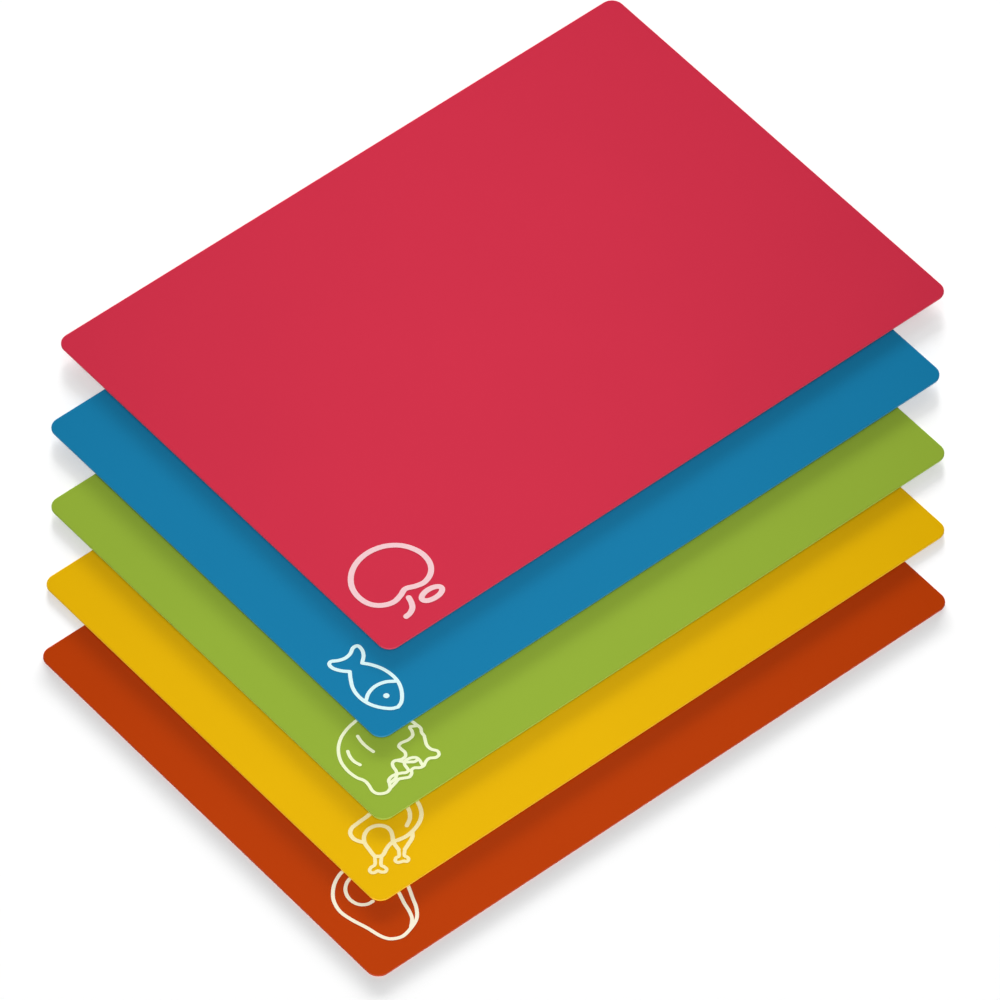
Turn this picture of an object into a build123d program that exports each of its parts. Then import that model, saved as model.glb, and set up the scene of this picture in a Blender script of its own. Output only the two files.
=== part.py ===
from build123d import *
import os

# A set of five flexible cutting mats of one size, lying on each other in a fanned stack.
# +X runs along the mats' long edges, +Y away from the user and +Z up. The origin is on the
# table, under the middle of the whole fan.

# One mat, in millimetres
MAT_LENGTH = 380.0
MAT_WIDTH = 272.0
SHEET_THICKNESS = 1.2
CORNER_RADIUS = 7.0

# The softened arris that the cutting die leaves along both faces
EDGE_ROUNDING = 0.25

# How far a mat lies along its long edge and back from the mat under it
FAN_STEP_ALONG = 33.8
FAN_STEP_BACK = 39.0

# What the matt faces and the printed figures keep between two sheets
STACK_CLEARANCE = 0.1

# The mats from the lowest up. Each has its own step over the mat under it, along and back, as
# shares of the fan's steps, because a stack that is fanned by hand isn't even.
FAN_STEP_SHARES = {
    "orange_mat": (0.00, 0.00),
    "yellow_mat": (0.90, 0.91),
    "green_mat": (0.99, 0.98),
    "blue_mat": (0.96, 1.05),
    "red_mat": (1.15, 1.05),
}


def cutting_mat():
    """One sheet, centred on its underside: flat faces, rounded corners and softened arrises."""
    outline = RectangleRounded(MAT_LENGTH, MAT_WIDTH, CORNER_RADIUS)
    blank = extrude(outline, SHEET_THICKNESS)
    levels = blank.edges().group_by(Axis.Z)
    arrises = levels[0] + levels[-1]
    return fillet(arrises, EDGE_ROUNDING)


def fan_places():
    """The middle of each mat's underside, with the whole fan centred on the origin."""
    reach_along = FAN_STEP_ALONG * sum(along for along, back in FAN_STEP_SHARES.values())
    reach_back = FAN_STEP_BACK * sum(back for along, back in FAN_STEP_SHARES.values())
    x = -reach_along / 2
    y = -reach_back / 2
    z = 0
    places = {}
    for name, (along, back) in FAN_STEP_SHARES.items():
        x = x + along * FAN_STEP_ALONG
        y = y + back * FAN_STEP_BACK
        places[name] = (x, y, z)
        z = z + SHEET_THICKNESS + STACK_CLEARANCE
    return places


os.makedirs("parts", exist_ok=True)
for node, place in fan_places().items():
    export_step(Pos(*place) * cutting_mat(), f"parts/{node}.step")
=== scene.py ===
"""The looks of a fanned set of flexible cutting mats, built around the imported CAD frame."""

import math

import bpy
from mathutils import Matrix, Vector
from mathutils.bvhtree import BVHTree
from mathutils.geometry import delaunay_2d_cdt


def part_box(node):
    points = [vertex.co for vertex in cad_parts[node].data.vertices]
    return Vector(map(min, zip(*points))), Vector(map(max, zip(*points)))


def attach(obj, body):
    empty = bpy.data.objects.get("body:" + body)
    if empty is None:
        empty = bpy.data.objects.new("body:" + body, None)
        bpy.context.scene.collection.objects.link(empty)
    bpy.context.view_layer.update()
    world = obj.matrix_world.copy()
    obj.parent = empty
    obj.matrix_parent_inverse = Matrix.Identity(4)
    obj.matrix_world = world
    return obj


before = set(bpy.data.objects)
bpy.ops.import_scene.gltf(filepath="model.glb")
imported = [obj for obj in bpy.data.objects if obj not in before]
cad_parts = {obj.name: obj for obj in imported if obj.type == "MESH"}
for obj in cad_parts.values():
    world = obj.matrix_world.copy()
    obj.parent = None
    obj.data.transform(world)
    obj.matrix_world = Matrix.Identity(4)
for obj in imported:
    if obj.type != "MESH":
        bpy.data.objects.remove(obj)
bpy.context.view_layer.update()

MM = 0.001
SCENE = bpy.context.scene

# The camera: it looks over the near corner of the mats, from far off through a long lens
CAMERA_AZIMUTH = -39.8
CAMERA_ELEVATION = 50.02
CAMERA_DISTANCE = 6.0
CAMERA_LENS = 419.3
CAMERA_SENSOR = 36.0
CAMERA_TARGET = (-0.0102, -0.0129, 0.0)
CAMERA_NEAREST = 0.1
CAMERA_FARTHEST = 50.0

# Colours as they look on screen, from 0 to 255
SHEET_COLOURS = {
    "red_mat": (210, 48, 73),
    "blue_mat": (20, 125, 171),
    "green_mat": (150, 179, 57),
    "yellow_mat": (236, 184, 0),
    "orange_mat": (188, 61, 0),
}
INK_COLOURS = {
    "red_mat": (248, 207, 211),
    "blue_mat": (224, 253, 254),
    "green_mat": (247, 254, 211),
    "yellow_mat": (254, 240, 179),
    "orange_mat": (254, 246, 220),
}

# The sheets' plastic. A noise has its scale, its detail, and the lowest and highest that it gives:
# the cloudiness for the colour's strength, and the grain for the roughness.
SHEET_SHINE = 0.07
SHEET_CLOUD = (14.0, 3.0, 0.975, 1.025)
SHEET_GRAIN = (900.0, 2.0, 0.48, 0.6)
GRAIN_STRENGTH = 0.1
GRAIN_DEPTH = 0.1 * MM

# The cut edge has a painted glow: its colour is made stronger than the face's, standing in for light
# that enters a sheet and comes out of its edge. The cut is also a little rough, so the edge is paler.
# A surface changes from edge to face as the upright part of its direction goes from the first of
# these to the second.
EDGE_PAINTED_GLOW = 1.2
EDGE_PALENESS = 0.04
EDGE_TO_FACE = (0.5, 0.95)

# The ink, with a noise for the colour's strength
INK_SHINE = 0.2
INK_ROUGHNESS = 0.5
INK_BLOTCHES = (400.0, 3.0, 0.95, 1.02)

# The printed figures. Points nearer than the join distance, in millimetres, become one.
INK_HEIGHT = 0.05 * MM
INK_SUNK = 0.02 * MM
STEPS_PER_SPAN = 8
STEPS_PER_RING = 32
JOIN_DISTANCE = 0.001

# The lights. A level is what a light gives the floor under it, where 1 shows a colour as it is.
# A light's angle round from the camera is one of these two.
IN_FRONT = 0.0
BEHIND = 180.0
WORLD_LEVEL = 0.10

# A long softbox hangs over the mats and reaches out towards the camera. It is near enough for
# the mats' far ends to fall off a little.
SOFTBOX_LEVEL = 0.54
SOFTBOX_WIDTH = 0.5
SOFTBOX_LENGTH = 2.0
SOFTBOX_HEIGHT = 0.35
SOFTBOX_FORWARD = 0.5
SOFTBOX_SIDEWAYS = -0.027

# Long strip lights stand low behind the mats, and one in front lights their cut edges. Each
# fills the view between two angles over the floor, in degrees, and has its level.
BACK_STRIPS = ((3.0, 4.0, 0.033), (4.0, 6.0, 0.211), (6.0, 10.0, 0.028), (10.0, 20.0, 0.035))
FRONT_STRIP = (2.0, 8.0, 0.05)
STRIP_DISTANCE = 7.0
STRIP_SPREAD = 25.0

# The floor has lights of its own in their place, so that it is white all over and has the mats'
# shadow: more strips behind, far off, and lamps. A lamp has its angle round from the camera, its
# angle over the floor and its width, in degrees, its level, and the mats that shade it. Only the
# lowest mat shades the strips, and only the mats over it shade the two lamps behind, which stand
# steeper. So a raised mat's shadow on the floor is as tight as the lowest one's.
LOWEST_MAT = ("orange_mat",)
UPPER_MATS = ("yellow_mat", "green_mat", "blue_mat", "red_mat")
FLOOR_STRIPS = ((3.0, 4.0, 0.07), (4.0, 6.0, 0.225), (6.0, 10.0, 0.04), (10.0, 20.0, 0.065))
FLOOR_STRIP_DISTANCE = 20.0
FLOOR_LAMPS = (
    (IN_FRONT, 50.0, 16.0, 0.19, LOWEST_MAT + UPPER_MATS),
    (BEHIND, 16.0, 16.0, 0.29, UPPER_MATS),
    (BEHIND, 36.0, 20.0, 0.06, UPPER_MATS),
)
FLOOR_ONLY = "INCLUDE"
ALL_BUT_FLOOR = "EXCLUDE"

# The floor is white to the camera and throws back this share of the light that falls on it
FLOOR_BOUNCE = 0.3
FLOOR_HALF = 6.0
FLOOR_DROP = 0.02 * MM


def linear(rgb):
    """A screen colour from 0 to 255 as the linear colour that a shader takes."""
    def one(v):
        v = v / 255
        return v / 12.92 if v <= 0.04045 else ((v + 0.055) / 1.055) ** 2.4
    return tuple(one(v) for v in rgb)


def direction(azimuth, elevation):
    """The way towards something at that angle round the mats, in degrees, and over the floor."""
    turn, rise = math.radians(azimuth), math.radians(elevation)
    return Vector((math.sin(turn) * math.cos(rise), -math.cos(turn) * math.cos(rise), math.sin(rise)))


# Materials


def new_material(name, shader):
    """A material with one shader: its nodes, its links and that shader."""
    material = bpy.data.materials.new(name)
    material.use_nodes = True
    nodes, links = material.node_tree.nodes, material.node_tree.links
    nodes.clear()
    out = nodes.new("ShaderNodeOutputMaterial")
    surface = nodes.new(shader)
    links.new(surface.outputs["BSDF"], out.inputs["Surface"])
    return material, nodes, links, surface


def noise_between(nodes, links, scale, detail, low, high):
    """Noise that follows the piece, as it is and spread from low to high."""
    place = nodes.new("ShaderNodeTexCoord")
    noise = nodes.new("ShaderNodeTexNoise")
    noise.inputs["Scale"].default_value = scale
    noise.inputs["Detail"].default_value = detail
    links.new(place.outputs["Object"], noise.inputs["Vector"])
    spread = nodes.new("ShaderNodeMapRange")
    spread.inputs["To Min"].default_value = low
    spread.inputs["To Max"].default_value = high
    links.new(noise.outputs["Fac"], spread.inputs["Value"])
    return noise, spread


def toned(nodes, links, colour, tone):
    """A colour made a little lighter and darker by a tone."""
    body = nodes.new("ShaderNodeVectorMath")
    body.operation = "SCALE"
    body.inputs[0].default_value = colour
    links.new(tone.outputs["Result"], body.inputs["Scale"])
    return body


def sheet_plastic(name, rgb):
    """Matt polypropylene sheet: a fine rolled grain, a slight cloudiness and a paler cut edge with a
    painted glow.
    """
    material, nodes, links, plastic = new_material(name, "ShaderNodeBsdfPrincipled")
    plastic.inputs["Specular IOR Level"].default_value = SHEET_SHINE
    colour = linear(rgb)
    _, tone = noise_between(nodes, links, *SHEET_CLOUD)
    face = toned(nodes, links, colour, tone)
    # The cut edge's colour: a painted glow, stronger than the face, and a little paler
    painted_glow_cut = toned(nodes, links, [min(1.0, c * EDGE_PAINTED_GLOW + EDGE_PALENESS) for c in colour], tone)

    facing = nodes.new("ShaderNodeNewGeometry")
    split = nodes.new("ShaderNodeSeparateXYZ")
    links.new(facing.outputs["Normal"], split.inputs["Vector"])
    upright = nodes.new("ShaderNodeMath")
    upright.operation = "ABSOLUTE"
    links.new(split.outputs["Z"], upright.inputs[0])
    # Where the painted glow goes: the upright cut edges
    painted_glow_mask = nodes.new("ShaderNodeMapRange")
    painted_glow_mask.inputs["From Min"].default_value, painted_glow_mask.inputs["From Max"].default_value = EDGE_TO_FACE
    painted_glow_mask.inputs["To Min"].default_value = 1.0
    painted_glow_mask.inputs["To Max"].default_value = 0.0
    links.new(upright.outputs["Value"], painted_glow_mask.inputs["Value"])
    whole = nodes.new("ShaderNodeMix")
    whole.data_type = "RGBA"
    links.new(painted_glow_mask.outputs["Result"], whole.inputs["Factor"])
    links.new(face.outputs["Vector"], whole.inputs["A"])
    links.new(painted_glow_cut.outputs["Vector"], whole.inputs["B"])
    links.new(whole.outputs["Result"], plastic.inputs["Base Color"])

    grain, rough = noise_between(nodes, links, *SHEET_GRAIN)
    links.new(rough.outputs["Result"], plastic.inputs["Roughness"])
    bump = nodes.new("ShaderNodeBump")
    bump.inputs["Strength"].default_value = GRAIN_STRENGTH
    bump.inputs["Distance"].default_value = GRAIN_DEPTH
    links.new(grain.outputs["Fac"], bump.inputs["Height"])
    links.new(bump.outputs["Normal"], plastic.inputs["Normal"])
    return material


def printing_ink(name, rgb):
    """A thin opaque film of ink, slightly uneven where it was laid on."""
    material, nodes, links, film = new_material(name, "ShaderNodeBsdfPrincipled")
    film.inputs["Specular IOR Level"].default_value = INK_SHINE
    film.inputs["Roughness"].default_value = INK_ROUGHNESS
    _, tone = noise_between(nodes, links, *INK_BLOTCHES)
    body = toned(nodes, links, linear(rgb), tone)
    links.new(body.outputs["Vector"], film.inputs["Base Color"])
    return material


# Pen strokes, in millimetres on the sheet's face


def curve(points, closed=False):
    """Places along a smooth curve through the points, which doesn't swing out between close ones."""
    pts = [Vector(p) for p in points]
    if closed:
        pts = [pts[-1]] + pts + pts[:2]
    else:
        pts = [2 * pts[0] - pts[1]] + pts + [2 * pts[-1] - pts[-2]]
    path = []
    for p0, p1, p2, p3 in zip(pts, pts[1:], pts[2:], pts[3:]):
        t1 = (p1 - p0).length ** 0.5
        t2 = t1 + (p2 - p1).length ** 0.5
        t3 = t2 + (p3 - p2).length ** 0.5
        for step in range(STEPS_PER_SPAN):
            t = t1 + (t2 - t1) * step / STEPS_PER_SPAN
            a1 = p0.lerp(p1, t / t1)
            a2 = p1.lerp(p2, (t - t1) / (t2 - t1))
            a3 = p2.lerp(p3, (t - t2) / (t3 - t2))
            b1 = a1.lerp(a2, t / t2)
            b2 = a2.lerp(a3, (t - t1) / (t3 - t1))
            path.append(b1.lerp(b2, (t - t1) / (t2 - t1)))
    if not closed:
        path.append(pts[-2])
    return path


def oval(centre, half_long, half_short):
    """Places round an oval."""
    angles = [2 * math.pi * step / STEPS_PER_RING for step in range(STEPS_PER_RING)]
    return [Vector(centre) + Vector((half_long * math.cos(a), half_short * math.sin(a))) for a in angles]


def fan(centre, rim):
    """Triangles from a centre to each pair of neighbours on a rim."""
    return [(centre, a, b) for a, b in zip(rim, rim[1:])]


def stroke(path, pen, closed=False):
    """One pen stroke as triangles: a ribbon along the path, with round ends if it is open."""
    count = len(path)
    sides = []
    for i, here in enumerate(path):
        if closed:
            along = path[(i + 1) % count] - path[i - 1]
        else:
            along = path[min(i + 1, count - 1)] - path[max(i - 1, 0)]
        across = Vector((-along.y, along.x)).normalized() * (pen / 2)
        sides.append((here + across, here - across))
    pairs = list(zip(sides, sides[1:] + sides[:1] if closed else sides[1:]))
    triangles = []
    for (left, right), (next_left, next_right) in pairs:
        triangles += [(right, next_right, next_left), (right, next_left, left)]
    if not closed:
        for end in (path[0], path[-1]):
            rim = oval(end, pen / 2, pen / 2)
            triangles += fan(end, rim + rim[:1])
    return triangles


def dot(centre, radius):
    """A round spot."""
    rim = oval(centre, radius, radius)
    return fan(Vector(centre), rim + rim[:1])


# The figures. Each one's places are millimetres from the sheet's near left corner, along and
# back, on the middle line of its strokes. The figures face the far side of the sheet.


def apple():
    """An apple with its stem and a leaf."""
    pen = 3.05
    body = [
        (33.6, 26.6), (38.8, 24.7), (44.0, 23.8), (50.0, 26.2), (54.0, 31.3), (55.2, 38.5), (53.2, 45.8),
        (49.2, 51.4), (42.8, 55.6), (34.5, 57.4), (26.0, 56.1), (18.9, 52.1), (13.5, 45.2), (11.8, 37.7),
        (13.2, 30.6), (17.4, 25.9), (23.4, 23.7), (29.0, 24.8),
    ]
    stem = [(31.3, 21.0), (30.2, 17.5), (28.3, 14.5), (25.3, 12.7), (22.4, 12.2)]
    leaf = oval((42.1, 15.5), 6.3, 3.2)
    marks = stroke(curve(body, True), pen, True) + stroke(curve(stem), pen)
    return marks + stroke(leaf, pen, True)


def fish():
    """A fish, head down, with one gill line and an eye."""
    pen = 2.0
    tail = [
        (16.8, 44.4), (13.9, 47.4), (11.6, 51.6), (11.7, 54.6), (13.4, 55.6), (17.2, 53.6), (20.9, 52.7),
        (24.4, 53.3), (28.2, 55.4), (30.6, 54.9), (30.7, 51.8), (29.0, 48.2), (25.2, 44.7),
    ]
    back = [
        (25.2, 44.7), (28.1, 40.8), (30.8, 35.1), (31.9, 28.5), (31.2, 22.6), (28.3, 16.7), (24.2, 12.2),
        (21.0, 10.8),
    ]
    belly = [
        (16.8, 44.4), (14.2, 40.6), (11.2, 35.1), (10.0, 29.3), (10.7, 22.7), (13.4, 17.0), (17.9, 12.1),
        (21.0, 10.8),
    ]
    gill = [(10.5, 24.0), (15.3, 27.4), (20.9, 28.7), (26.5, 27.5), (31.0, 24.4)]
    marks = dot((21.1, 20.3), 1.6)
    for line in (tail, back, belly, gill):
        marks += stroke(curve(line), pen)
    return marks


def vegetable():
    """A round vegetable with two shine lines, over a ragged leaf that folds at its stem."""
    pen = 1.75
    body = [
        (53.4, 42.0), (52.8, 48.0), (48.0, 54.0), (42.5, 57.8), (36.0, 59.4), (30.0, 59.0), (24.8, 57.9),
        (19.1, 55.5), (13.4, 50.7), (9.4, 43.8), (8.2, 36.8), (8.9, 30.6), (10.6, 26.5), (10.5, 22.9),
        (9.6, 19.0), (10.2, 16.2), (12.3, 14.3), (15.0, 13.5), (17.6, 14.4),
    ]
    rib = [
        (17.6, 14.4), (19.0, 16.8), (20.2, 18.9), (22.5, 19.8), (25.6, 19.5), (28.2, 18.3), (30.3, 17.1),
        (31.9, 17.5), (32.4, 19.4), (32.8, 21.5), (34.2, 23.1), (36.2, 23.3), (38.4, 22.7), (40.2, 21.3),
        (40.4, 18.8), (39.8, 16.6), (39.6, 14.8),
    ]
    leaf_top = [
        (19.2, 17.2), (21.4, 17.3), (23.6, 17.7), (25.6, 19.1), (26.9, 21.2), (27.5, 24.2), (28.7, 26.2),
        (30.4, 26.7), (32.2, 25.9), (34.0, 25.2), (36.6, 25.5), (38.0, 27.6), (37.9, 30.4), (38.1, 32.6),
        (40.0, 33.5), (44.5, 32.8), (48.0, 33.6), (49.5, 36.0), (50.3, 38.7), (52.0, 38.0), (53.9, 36.9),
    ]
    leaf_foot = [
        (17.6, 14.4), (19.6, 14.9), (22.0, 15.5), (24.6, 16.2), (26.6, 15.3), (29.6, 13.9), (31.8, 14.8),
        (33.4, 16.7), (35.2, 16.8), (37.4, 15.2), (39.6, 14.8), (42.4, 16.3), (45.0, 16.7), (48.0, 15.0),
        (50.2, 15.4), (51.2, 17.6), (49.5, 20.7), (49.4, 24.0), (51.0, 27.3), (52.3, 29.7), (52.7, 32.1),
        (54.1, 34.7), (53.9, 37.8), (53.4, 42.0),
    ]
    fold = [(31.6, 26.1), (32.8, 24.4), (34.4, 22.4), (36.2, 21.0), (38.0, 19.8), (40.2, 19.9)]
    near_shine = [(16.2, 46.6), (14.9, 43.4), (14.5, 39.6), (15.4, 35.8)]
    far_shine = [(26.3, 51.0), (25.5, 47.2), (25.4, 42.6), (26.0, 38.2)]
    marks = []
    for line in (body, rib, leaf_top, leaf_foot, fold, near_shine, far_shine):
        marks += stroke(curve(line), pen)
    return marks


def poultry():
    """A dressed bird with two drumsticks, each ending in a bone, and a wing line."""
    pen = 2.15
    bone_pen = 1.8
    body = [
        (19.6, 34.9), (18.1, 36.9), (16.9, 40.2), (17.7, 43.8), (20.2, 45.9), (24.7, 46.6), (31.0, 46.9),
        (38.0, 47.9), (45.5, 49.2), (52.5, 47.8), (56.6, 43.8), (56.7, 38.5), (54.2, 32.0), (50.3, 28.0),
        (44.8, 25.5), (39.0, 24.5), (35.0, 24.9), (30.9, 26.1),
    ]
    near_leg = [
        (17.9, 24.6), (18.1, 27.0), (18.6, 30.0), (19.5, 34.6), (22.2, 38.2), (26.7, 40.2), (31.4, 39.1),
        (34.3, 35.6), (34.4, 32.2), (32.9, 28.9), (30.9, 26.1),
    ]
    ankle = [(17.9, 24.6), (20.6, 22.7), (22.4, 23.0), (24.6, 24.2), (27.5, 25.4), (30.9, 26.1)]
    near_bone = [
        (17.9, 24.6), (14.4, 20.5), (12.0, 20.4), (10.1, 19.2), (10.1, 17.6), (11.4, 16.7), (13.1, 16.6),
        (14.1, 14.8), (15.7, 13.7), (17.3, 14.6), (17.3, 16.4), (16.8, 18.1), (20.6, 22.7),
    ]
    shin = [(30.9, 26.1), (30.3, 23.4), (29.9, 20.4)]
    far_bone = [
        (29.9, 20.4), (27.2, 17.0), (25.6, 17.1), (24.1, 16.0), (24.2, 14.4), (25.6, 13.6), (27.1, 13.1),
        (28.3, 11.8), (29.8, 12.4), (30.1, 13.9), (29.6, 15.3), (32.4, 18.5),
    ]
    calf = [(32.4, 18.5), (36.0, 20.0), (40.0, 21.9), (42.4, 24.7)]
    wing = [(42.8, 29.6), (46.6, 31.9), (49.4, 35.4), (50.6, 38.5)]
    marks = stroke(curve(near_bone), bone_pen) + stroke(curve(far_bone), bone_pen)
    for line in (body, near_leg, ankle, shin, calf, wing):
        marks += stroke(curve(line), pen)
    return marks


def steak():
    """A steak with a line along its thick edge and an open ring for the bone."""
    pen = 1.9
    outline = [
        (31.3, 63.9), (26.4, 62.6), (20.5, 58.9), (15.4, 52.6), (13.4, 45.2), (14.4, 37.6), (17.1, 28.5),
        (19.3, 19.4), (21.7, 15.5), (27.2, 12.9), (33.7, 14.1), (39.9, 17.0), (44.0, 22.1), (46.7, 28.3),
        (49.4, 34.6), (52.0, 42.0), (51.5, 51.0), (46.5, 58.5), (39.0, 62.9),
    ]
    inner = [(46.0, 44.0), (43.4, 34.7), (41.4, 28.5), (40.0, 22.7), (38.1, 18.4), (33.9, 14.2)]
    bone = [
        (37.0, 43.0), (38.3, 49.0), (36.0, 55.0), (31.3, 57.9), (27.2, 56.7), (23.5, 53.0), (22.0, 47.7),
        (23.3, 42.6), (26.8, 39.8), (30.1, 39.5),
    ]
    marks = stroke(curve(outline, True), pen, True)
    for line in (inner, bone):
        marks += stroke(curve(line), pen)
    return marks


FIGURES = {
    "red_mat": apple,
    "blue_mat": fish,
    "green_mat": vegetable,
    "yellow_mat": poultry,
    "orange_mat": steak,
}


def joined(triangles):
    """The area that overlapping triangles cover together: its places, and its triangular cells,
    which all go round the same way."""
    corners = [place for triangle in triangles for place in triangle]
    rings = [(3 * i, 3 * i + 1, 3 * i + 2) for i in range(len(triangles))]
    sides = [(ring[i - 1], ring[i]) for ring in rings for i in range(3)]
    spots, _, cells, _, _, _ = delaunay_2d_cdt(corners, sides, [], 0, JOIN_DISTANCE, True)
    cover = BVHTree.FromPolygons([place.to_3d() for place in corners], rings)
    down = Vector((0, 0, -1))
    kept = []
    for cell in cells:
        middle = sum((spots[i] for i in cell), Vector((0, 0))) / len(cell)
        hit, _, _, _ = cover.ray_cast(middle.to_3d() - down, down)
        if hit:
            kept.append(cell)
    used = sorted({i for cell in kept for i in cell})
    number = {spot: place for place, spot in enumerate(used)}
    return [spots[i] for i in used], [[number[i] for i in cell] for cell in kept]


def ink_film(name, triangles, corner, level, material):
    """One closed slab of ink over all the triangles together, on the sheet's face at that level."""
    spots, cells = joined(triangles)
    places = [(corner.x + spot.x * MM, corner.y + spot.y * MM) for spot in spots]
    verts = [(x, y, z) for z in (level - INK_SUNK, level + INK_HEIGHT) for x, y in places]
    rise = len(places)
    sides = [(cell[i - 1], cell[i]) for cell in cells for i in range(len(cell))]
    inside = set(sides)
    # The underside, the top, and an upright face on each side that no other cell shares
    faces = [cell[::-1] for cell in cells]
    faces += [[i + rise for i in cell] for cell in cells]
    faces += [(a, b, b + rise, a + rise) for a, b in sides if (b, a) not in inside]
    data = bpy.data.meshes.new(name)
    data.from_pydata(verts, [], faces)
    data.materials.append(material)
    film = bpy.data.objects.new(name, data)
    SCENE.collection.objects.link(film)
    return film


def print_figures():
    """The ink figure on each sheet, which rides on its mat."""
    for name, figure in FIGURES.items():
        low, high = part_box(name)
        ink = printing_ink(name.replace("mat", "ink"), INK_COLOURS[name])
        film = ink_film(name.replace("mat", "figure"), figure(), low, high.z, ink)
        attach(film, name)


def dress_sheets():
    """The plastic of each sheet, on the solid from the frame."""
    for name, rgb in SHEET_COLOURS.items():
        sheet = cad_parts[name]
        sheet.data.materials.clear()
        sheet.data.materials.append(sheet_plastic(name.replace("mat", "sheet"), rgb))


# The stage


def add_camera():
    """The camera, at the photograph's viewing angle."""
    data = bpy.data.cameras.new("camera")
    data.sensor_width = CAMERA_SENSOR
    data.lens = CAMERA_LENS
    data.clip_start = CAMERA_NEAREST
    data.clip_end = CAMERA_FARTHEST
    camera = bpy.data.objects.new("camera", data)
    back = direction(CAMERA_AZIMUTH, CAMERA_ELEVATION)
    camera.location = Vector(CAMERA_TARGET) + back * CAMERA_DISTANCE
    camera.rotation_euler = back.to_track_quat("Z", "Y").to_euler()
    SCENE.collection.objects.link(camera)
    SCENE.camera = camera


def add_lamp(name, kind, towards, floor, reaches):
    """A lamp that shines from that direction towards the mats, on the floor only or on all but it."""
    data = bpy.data.lights.new(name, kind)
    lamp = bpy.data.objects.new(name, data)
    lamp.rotation_euler = towards.to_track_quat("Z", "Y").to_euler()
    lamp.visible_camera = False
    lamp.visible_glossy = False
    group = bpy.data.collections.new(name)
    group.objects.link(floor)
    group.collection_objects[0].light_linking.link_state = reaches
    lamp.light_linking.receiver_collection = group
    SCENE.collection.objects.link(lamp)
    return lamp, data


def shade_only_by(lamp, mats):
    """Lets only those mats throw a shadow in a lamp's light."""
    group = bpy.data.collections.new(f"{lamp.name}_shade")
    for name in mats:
        group.objects.link(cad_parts[name])
    lamp.light_linking.blocker_collection = group


def corner_share(aside, ahead):
    """The share of a floor point's light that comes from a level panel with one corner over the
    point and the other that far aside and ahead, in units of the panel's height."""
    near, far = math.hypot(1, aside), math.hypot(1, ahead)
    return (aside / near * math.atan(ahead / near) + ahead / far * math.atan(aside / far)) / (2 * math.pi)


def add_softbox(floor):
    """The long softbox over the mats, in line with the view."""
    lamp, data = add_lamp("softbox", "AREA", Vector((0, 0, 1)), floor, ALL_BUT_FLOOR)
    ahead = direction(CAMERA_AZIMUTH, 0.0)
    aside = ahead.cross(Vector((0, 0, -1)))
    lamp.location = ahead * SOFTBOX_FORWARD + aside * SOFTBOX_SIDEWAYS
    lamp.location.z = SOFTBOX_HEIGHT
    lamp.rotation_euler = (0, 0, math.radians(CAMERA_AZIMUTH))
    data.shape = "RECTANGLE"
    data.size = SOFTBOX_WIDTH
    data.size_y = SOFTBOX_LENGTH
    left, right = [(SOFTBOX_SIDEWAYS + way * SOFTBOX_WIDTH / 2) / SOFTBOX_HEIGHT for way in (-1, 1)]
    rear, front = [(SOFTBOX_FORWARD + way * SOFTBOX_LENGTH / 2) / SOFTBOX_HEIGHT for way in (-1, 1)]
    share = corner_share(right, front) - corner_share(left, front)
    share += corner_share(left, rear) - corner_share(right, rear)
    data.energy = SOFTBOX_LEVEL / share * math.pi * SOFTBOX_WIDTH * SOFTBOX_LENGTH


def add_strip(name, turn, low, high, level, distance, floor, reaches):
    """An upright strip light, that far round from the camera and that far off, which fills the
    view from one angle over the floor to another."""
    towards = direction(CAMERA_AZIMUTH + turn, 0.0)
    lamp, data = add_lamp(name, "AREA", towards, floor, reaches)
    foot, head = math.tan(math.radians(low)), math.tan(math.radians(high))
    spread = math.radians(STRIP_SPREAD)
    lamp.location = towards * distance
    lamp.location.z = distance * (foot + head) / 2
    data.shape = "RECTANGLE"
    data.size = 2 * distance * math.tan(spread)
    data.size_y = distance * (head - foot)
    # How much of the strip's brightness reaches the floor
    reach = (head ** 2 - foot ** 2) / 2 * (math.sin(spread) * math.cos(spread) + spread)
    data.energy = level * math.pi ** 2 * data.size * data.size_y / reach
    return lamp


def add_floor_lamp(name, turn, elevation, width, level, mats, floor):
    """A far lamp for the floor alone, which those mats shade."""
    towards = direction(CAMERA_AZIMUTH + turn, elevation)
    lamp, data = add_lamp(name, "SUN", towards, floor, FLOOR_ONLY)
    data.angle = math.radians(width)
    data.energy = math.pi * level / towards.z
    shade_only_by(lamp, mats)


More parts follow.
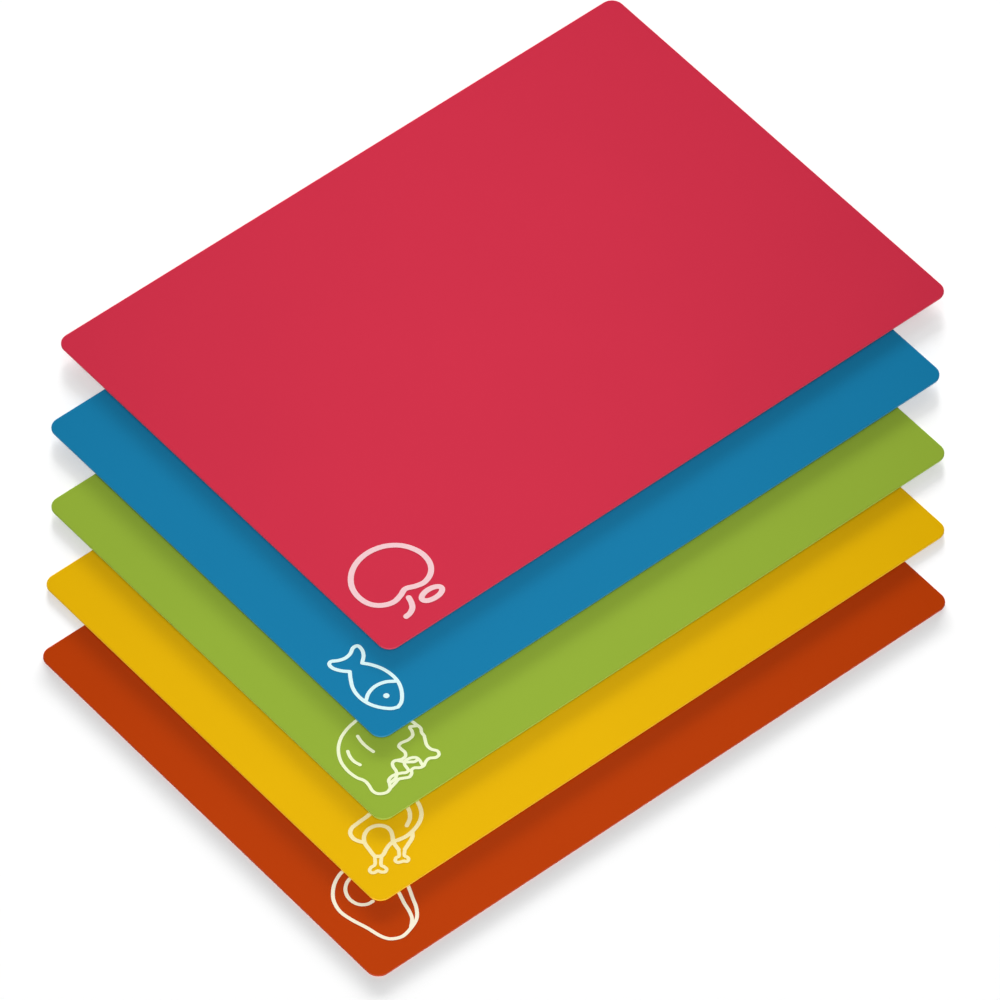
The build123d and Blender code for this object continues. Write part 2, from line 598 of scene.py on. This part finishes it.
def white_when_seen(nodes, links, unseen):
    """White to the camera, itself or by gloss or glass, and that grey to light that bounces."""
    ray = nodes.new("ShaderNodeLightPath")
    seen = ray.outputs["Is Camera Ray"]
    for kind in ("Is Glossy Ray", "Is Transmission Ray"):
        either = nodes.new("ShaderNodeMath")
        either.operation = "MAXIMUM"
        links.new(seen, either.inputs[0])
        links.new(ray.outputs[kind], either.inputs[1])
        seen = either.outputs["Value"]
    grey = nodes.new("ShaderNodeMapRange")
    grey.inputs["To Min"].default_value = unseen
    grey.inputs["To Max"].default_value = 1.0
    links.new(seen, grey.inputs["Value"])
    return grey.outputs["Result"]


def light_world():
    """An even light all round, which the camera and gloss see as a white backdrop."""
    world = bpy.data.worlds.new("studio")
    SCENE.world = world
    world.use_nodes = True
    nodes, links = world.node_tree.nodes, world.node_tree.links
    nodes.clear()
    out = nodes.new("ShaderNodeOutputWorld")
    backdrop = nodes.new("ShaderNodeBackground")
    backdrop.inputs["Color"].default_value = (1, 1, 1, 1)
    links.new(white_when_seen(nodes, links, WORLD_LEVEL), backdrop.inputs["Strength"])
    links.new(backdrop.outputs[0], out.inputs["Surface"])


def add_floor():
    """A wide plain floor, just under the lowest mat."""
    data = bpy.data.meshes.new("floor")
    half = FLOOR_HALF
    corners = [(-half, -half, 0), (half, -half, 0), (half, half, 0), (-half, half, 0)]
    data.from_pydata(corners, [], [(0, 1, 2, 3)])
    floor = bpy.data.objects.new("floor", data)
    SCENE.collection.objects.link(floor)
    material, nodes, links, paint = new_material("floor", "ShaderNodeBsdfDiffuse")
    links.new(white_when_seen(nodes, links, FLOOR_BOUNCE), paint.inputs["Color"])
    data.materials.append(material)
    floor.location.z = -FLOOR_DROP
    return floor


SCENE.view_settings.view_transform = "Standard"
dress_sheets()
print_figures()
add_camera()
light_world()
floor = add_floor()
add_softbox(floor)
add_strip("front_strip", IN_FRONT, *FRONT_STRIP, STRIP_DISTANCE, floor, ALL_BUT_FLOOR)
for number, strip in enumerate(BACK_STRIPS):
    add_strip(f"back_strip_{number}", BEHIND, *strip, STRIP_DISTANCE, floor, ALL_BUT_FLOOR)
for number, strip in enumerate(FLOOR_STRIPS):
    lamp = add_strip(f"floor_strip_{number}", BEHIND, *strip, FLOOR_STRIP_DISTANCE, floor, FLOOR_ONLY)
    shade_only_by(lamp, LOWEST_MAT)
for number, place in enumerate(FLOOR_LAMPS):
    add_floor_lamp(f"floor_lamp_{number}", *place, floor)
